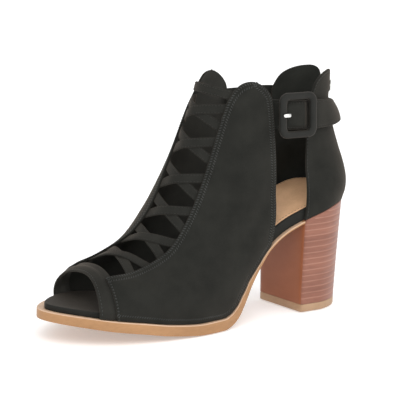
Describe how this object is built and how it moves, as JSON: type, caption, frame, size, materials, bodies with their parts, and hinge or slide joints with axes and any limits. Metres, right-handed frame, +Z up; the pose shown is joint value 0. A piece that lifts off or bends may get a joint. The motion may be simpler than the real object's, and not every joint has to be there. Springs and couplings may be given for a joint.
{
  "type": "block heel sandal",
  "caption": "Left peep-toe ankle sandal with crossed front straps, open sides, a buckled ankle strap, a back zip and a block heel.",
  "frame": {"origin": "on the heel's flat bottom face, near its centre, at floor level", "axes": "+X towards the toe, +Y towards the outer side of the foot, +Z up"},
  "size_m": [0.2371, 0.0836, 0.161],
  "materials": {
    "nubuck": "matt black nubuck",
    "buckle_cover": "matt black covering stretched over the frame",
    "insole": "black wrap with a tan heel sock",
    "outsole": "smooth tan edge",
    "heel_stack": "polished stacked layers",
    "heel_tip": "pale tan wear piece",
    "metal": "bright silver plating"
  },
  "bodies": {
    "shoe": {"outsole": "outsole", "insole": "insole", "heel": "heel_stack", "heel_tip": "heel_tip", "upper": "nubuck", "heel_counter": "nubuck", "ankle_strap": "nubuck", "buckle": "buckle_cover", "buckle_prong": "metal", "zip_slider": "metal"},
    "zip_pull": {"zip_pull": "metal"}
  },
  "joints": [
    {"name": "zip_pull_hinge", "type": "hinge", "parent": "shoe", "child": "zip_pull", "pos_m": [-0.018, 0, 0.1498], "axis": [0, 1, 0], "range_deg": [0, 150]}
  ]
}
